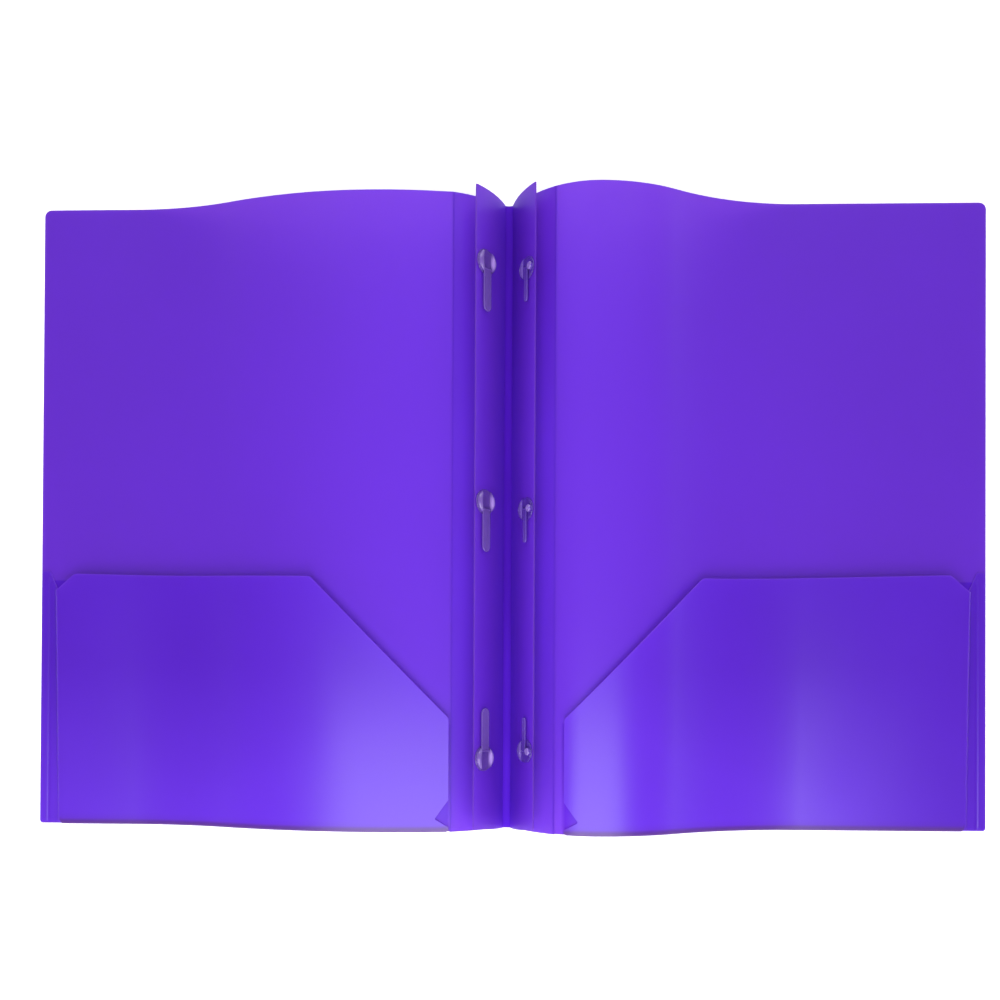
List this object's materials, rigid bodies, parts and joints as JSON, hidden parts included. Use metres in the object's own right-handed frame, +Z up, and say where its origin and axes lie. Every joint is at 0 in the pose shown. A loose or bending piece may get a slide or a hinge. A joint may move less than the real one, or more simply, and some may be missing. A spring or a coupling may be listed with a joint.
{
  "type": "two pocket folder",
  "caption": "Glossy plastic folder lying open, with a pocket on each cover and a folded strip of swinging tangs along its spine, for loose or hole-punched sheets.",
  "frame": {"origin": "on the table under the middle of the spine, halfway up it", "axes": "+X across the open folder to the right-hand pocket, +Y up the page along the spine, +Z up from the table"},
  "size_m": [0.44, 0.29, 0.0276],
  "materials": {
    "cover_violet": "glossy violet sheet",
    "pocket_violet": "glossy violet sheet",
    "strip_violet": "glossy violet sheet",
    "fastener_clear": "clear moulded plastic with a violet cast"
  },
  "bodies": {
    "spine": {"spine": "cover_violet", "strip_weld": "strip_violet"},
    "right_margin": {"right_hinge_margin": "cover_violet"},
    "right_cover": {"right_cover": "cover_violet", "right_pocket": "pocket_violet", "right_side_tab": "pocket_violet"},
    "left_margin": {"left_hinge_margin": "cover_violet"},
    "left_cover": {"left_cover": "cover_violet", "left_pocket": "pocket_violet", "left_side_tab": "pocket_violet"},
    "left_wing": {"strip_left_wing": "strip_violet", "upper_left_boss": "fastener_clear", "middle_left_boss": "fastener_clear", "lower_left_boss": "fastener_clear"},
    "right_wing": {"strip_right_wing": "strip_violet", "upper_right_boss": "fastener_clear", "middle_right_boss": "fastener_clear", "lower_right_boss": "fastener_clear"},
    "upper_left_tang": {"upper_left_tang": "fastener_clear"},
    "middle_left_tang": {"middle_left_tang": "fastener_clear"},
    "lower_left_tang": {"lower_left_tang": "fastener_clear"},
    "upper_right_tang": {"upper_right_tang": "fastener_clear"},
    "middle_right_tang": {"middle_right_tang": "fastener_clear"},
    "lower_right_tang": {"lower_right_tang": "fastener_clear"}
  },
  "joints": [
    {"name": "right_score_fold", "type": "hinge", "parent": "right_margin", "child": "right_cover", "pos_m": [0.02147, 0, 0.01879], "axis": [0, -1, 0], "range_deg": [0, 67.5]},
    {"name": "spine_right_fold", "type": "hinge", "parent": "spine", "child": "right_margin", "pos_m": [0.0033, 0, 0.00062], "axis": [0, -1, 0], "range_deg": [0, 28.01]},
    {"name": "spine_left_fold", "type": "hinge", "parent": "spine", "child": "left_margin", "pos_m": [-0.0033, 0, 0.00062], "axis": [0, 1, 0], "range_deg": [0, 40.81]},
    {"name": "left_score_fold", "type": "hinge", "parent": "left_margin", "child": "left_cover", "pos_m": [-0.02505, 0, 0.01431], "axis": [0, 1, 0], "range_deg": [0, 49.71]},
    {"name": "left_wing_fold", "type": "hinge", "parent": "spine", "child": "left_wing", "pos_m": [-0.002, 0, 0.00175], "axis": [0, 1, 0], "range_deg": [0, 19.01]},
    {"name": "right_wing_fold", "type": "hinge", "parent": "spine", "child": "right_wing", "pos_m": [0.002, 0, 0.00175], "axis": [0, -1, 0], "range_deg": [0, 13.01]},
    {"name": "upper_left_tang_swing", "type": "hinge", "parent": "left_wing", "child": "upper_left_tang", "pos_m": [-0.00926, 0.108, 0.0181], "axis": [-0.6246, 0, 0.781], "range_deg": [0, 180]},
    {"name": "middle_left_tang_swing", "type": "hinge", "parent": "left_wing", "child": "middle_left_tang", "pos_m": [-0.00926, 0, 0.0181], "axis": [-0.6246, 0, 0.781], "range_deg": [0, 180]},
    {"name": "lower_left_tang_swing", "type": "hinge", "parent": "left_wing", "child": "lower_left_tang", "pos_m": [-0.00926, -0.108, 0.0181], "axis": [0.6246, 0, -0.781], "range_deg": [0, 180]},
    {"name": "upper_right_tang_swing", "type": "hinge", "parent": "right_wing", "child": "upper_right_tang", "pos_m": [0.00792, 0.108, 0.01912], "axis": [-0.548, 0, -0.8365], "range_deg": [0, 180]},
    {"name": "middle_right_tang_swing", "type": "hinge", "parent": "right_wing", "child": "middle_right_tang", "pos_m": [0.00792, 0, 0.01912], "axis": [-0.548, 0, -0.8365], "range_deg": [0, 180]},
    {"name": "lower_right_tang_swing", "type": "hinge", "parent": "right_wing", "child": "lower_right_tang", "pos_m": [0.00792, -0.108, 0.01912], "axis": [0.548, 0, 0.8365], "range_deg": [0, 180]}
  ],
  "couplings": [
    {"joint": "spine_right_fold", "follows": "right_score_fold", "ratio": 0.41481},
    {"joint": "spine_left_fold", "follows": "right_score_fold", "ratio": 0.60444},
    {"joint": "left_score_fold", "follows": "right_score_fold", "ratio": 0.7363},
    {"joint": "left_wing_fold", "follows": "right_score_fold", "ratio": 0.28148},
    {"joint": "right_wing_fold", "follows": "right_score_fold", "ratio": 0.19259}
  ]
}
